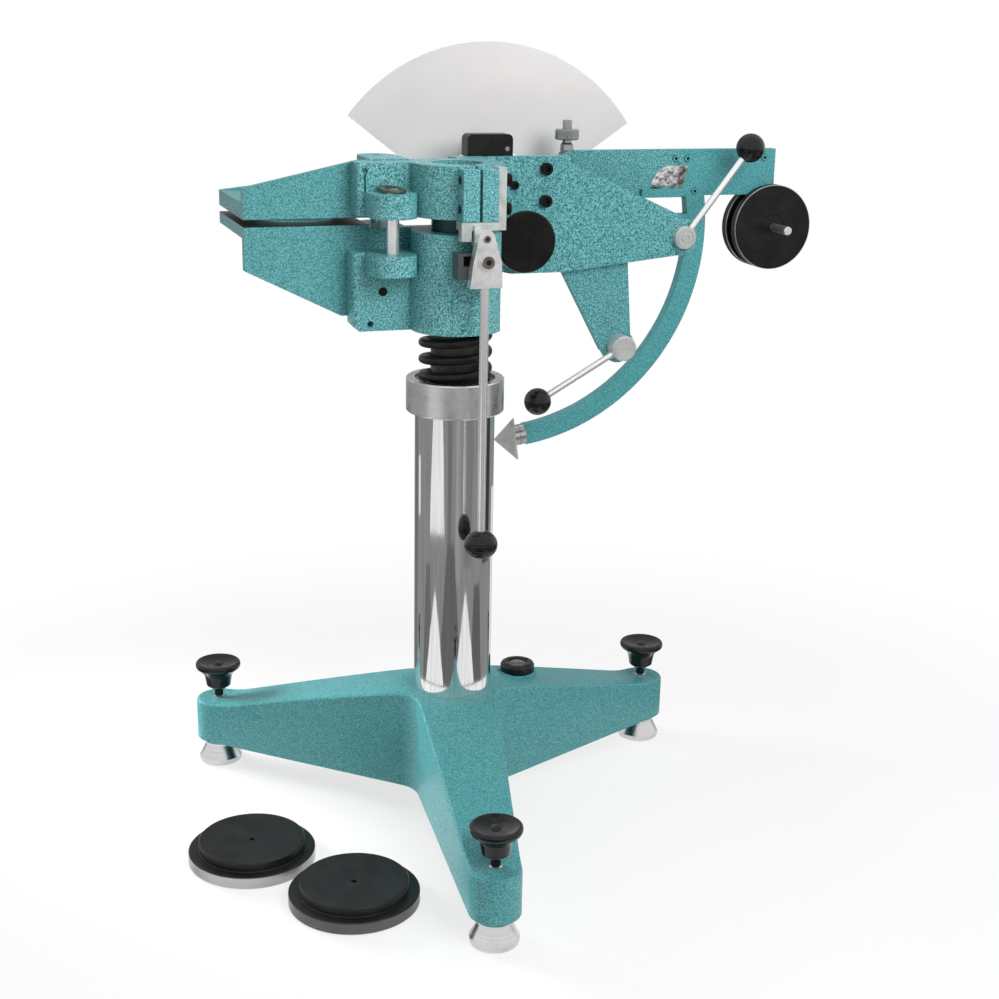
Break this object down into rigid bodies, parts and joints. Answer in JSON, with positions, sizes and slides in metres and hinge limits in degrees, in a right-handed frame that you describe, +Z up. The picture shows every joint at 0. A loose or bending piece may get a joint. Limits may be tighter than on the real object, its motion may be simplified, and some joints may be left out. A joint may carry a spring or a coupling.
{
  "type": "puncture resistance tester",
  "caption": "Bench pendulum tester: tripod base, chrome column, sprung square clamping jaws, weighted beam with an arc arm and a pyramid point that punctures board.",
  "frame": {"origin": "middle of the overall footprint, at floor level", "axes": "+Z up; the pendulum turns about Y, with its free stud towards -Y (the operator's side); jaws towards -X, weighted beam towards +X"},
  "size_m": [0.9388, 0.653, 1.0206],
  "materials": {
    "teal_hammer": "coarse hammertone enamel, light and dark teal",
    "teal_smooth": "finer hammertone enamel, teal",
    "chrome_tube": "polished chrome plate",
    "bright_steel": "turned and brushed steel",
    "ground_steel": "ground steel, slightly oiled",
    "black_oxide": "black oxide on steel",
    "bakelite": "moulded black thermoset, semi-gloss",
    "weight_black": "black enamel on turned cast iron",
    "dial_white": "pale grey-white baked enamel",
    "level_glass": "clear vial glass with a green-yellow liquid"
  },
  "bodies": {
    "root": {"tripod_base": "teal_hammer", "level_housing": "bakelite", "level_glass": "level_glass", "column_tube": "chrome_tube", "column_collar": "bright_steel", "inner_shaft": "ground_steel", "shaft_socket": "ground_steel", "lift_spring": "black_oxide", "head_casting": "teal_hammer", "upper_jaw": "teal_hammer", "guide_pins": "bright_steel", "pin_clip": "ground_steel", "clamp_bolts": "black_oxide", "corner_bracket": "bright_steel", "side_plate": "teal_hammer", "side_plate_screws": "black_oxide", "bearing_barrel": "black_oxide", "pivot_bearings": "ground_steel", "barrel_cap": "black_oxide", "catch_bracket": "teal_hammer", "bracket_screws": "teal_hammer", "dial_bracket": "black_oxide", "dial_plate": "dial_white", "spare_weight_left": "weight_black", "spare_weight_right": "weight_black"},
    "carriage": {"lower_casting": "teal_hammer", "lower_jaw": "teal_hammer", "casting_screw": "teal_hammer"},
    "clamp_lever": {"lever_head": "bright_steel", "lever_pins": "bright_steel", "lever_rod": "bright_steel", "lever_knob": "bakelite"},
    "pendulum": {"pendulum_frame": "teal_hammer", "beam_end": "teal_smooth", "arc_arm": "teal_smooth", "ferrule": "bright_steel", "puncture_head": "ground_steel", "stop_block": "teal_hammer", "striker_plate": "bright_steel", "pivot_shaft": "ground_steel", "pendulum_nuts": "ground_steel", "weight_near": "weight_black", "weight_far": "weight_black", "weight_stud": "bright_steel", "trim_stud": "bright_steel", "beam_screws": "teal_hammer"},
    "trim_nut": {"trim_nut": "bright_steel"},
    "release_lever": {"release_hub": "bright_steel", "release_rod": "bright_steel", "release_ball": "bakelite"},
    "lock_lever": {"lock_hub": "bright_steel", "lock_rod": "bright_steel", "lock_ball": "bakelite"},
    "pointer": {"dial_pointer": "black_oxide"},
    "foot_front": {"levelling_foot_front": "bright_steel"},
    "screw_front": {"levelling_screw_front": "bakelite"},
    "foot_right": {"levelling_foot_right": "bright_steel"},
    "screw_right": {"levelling_screw_right": "bakelite"},
    "foot_left": {"levelling_foot_left": "bright_steel"},
    "screw_left": {"levelling_screw_left": "bakelite"}
  },
  "joints": [
    {"name": "pendulum_swing", "type": "hinge", "parent": "root", "child": "pendulum", "pos_m": [0.0099, 0.19193, 0.7726], "axis": [0, 1, 0], "range_deg": [0, 145]},
    {"name": "clamp_lever_swing", "type": "hinge", "parent": "root", "child": "clamp_lever", "pos_m": [-0.0861, -0.02627, 0.795], "axis": [0, 1, 0], "range_deg": [0, 45]},
    {"name": "carriage_slide", "type": "slide", "parent": "root", "child": "carriage", "axis": [0, 0, 1], "range_m": [0, 0.00805], "deforming": ["lift_spring"]},
    {"name": "release_lever_turn", "type": "hinge", "parent": "root", "child": "release_lever", "pos_m": [0.2539, 0.14293, 0.7673], "axis": [0, 1, 0], "range_deg": [-35, 10]},
    {"name": "lock_lever_turn", "type": "hinge", "parent": "root", "child": "lock_lever", "pos_m": [0.1693, 0.15493, 0.6175], "axis": [0, 1, 0], "range_deg": [-20, 40]},
    {"name": "trim_nut_turn", "type": "hinge", "parent": "pendulum", "child": "trim_nut", "pos_m": [0.1009, 0.19193, 0.902], "axis": [0, 0, 1], "continuous": true},
    {"name": "pointer_turn", "type": "hinge", "parent": "root", "child": "pointer", "pos_m": [0.0099, 0.26193, 0.7726], "axis": [0, 1, 0], "range_deg": [0, 90]},
    {"name": "foot_front_travel", "type": "slide", "parent": "root", "child": "foot_front", "axis": [0, 0, 1], "range_m": [-0.012, 0]},
    {"name": "screw_front_turn", "type": "hinge", "parent": "foot_front", "child": "screw_front", "pos_m": [-0.15167, -0.29449, 0.13], "axis": [0, 0, 1], "range_deg": [-2160, 0]},
    {"name": "foot_right_travel", "type": "slide", "parent": "root", "child": "foot_right", "axis": [0, 0, 1], "range_m": [-0.012, 0]},
    {"name": "screw_right_turn", "type": "hinge", "parent": "foot_right", "child": "screw_right", "pos_m": [0.24595, 0.19478, 0.13], "axis": [0, 0, 1], "range_deg": [-2160, 0]},
    {"name": "foot_left_travel", "type": "slide", "parent": "root", "child": "foot_left", "axis": [0, 0, 1], "range_m": [-0.012, 0]},
    {"name": "screw_left_turn", "type": "hinge", "parent": "foot_left", "child": "screw_left", "pos_m": [-0.37658, 0.29449, 0.13], "axis": [0, 0, 1], "range_deg": [-2160, 0]}
  ],
  "couplings": [
    {"joint": "carriage_slide", "follows": "clamp_lever_swing", "m_per_rad": 0.010255},
    {"joint": "screw_front_turn", "follows": "foot_front_travel", "rad_per_m": 3141.6},
    {"joint": "screw_right_turn", "follows": "foot_right_travel", "rad_per_m": 3141.6},
    {"joint": "screw_left_turn", "follows": "foot_left_travel", "rad_per_m": 3141.6}
  ]
}
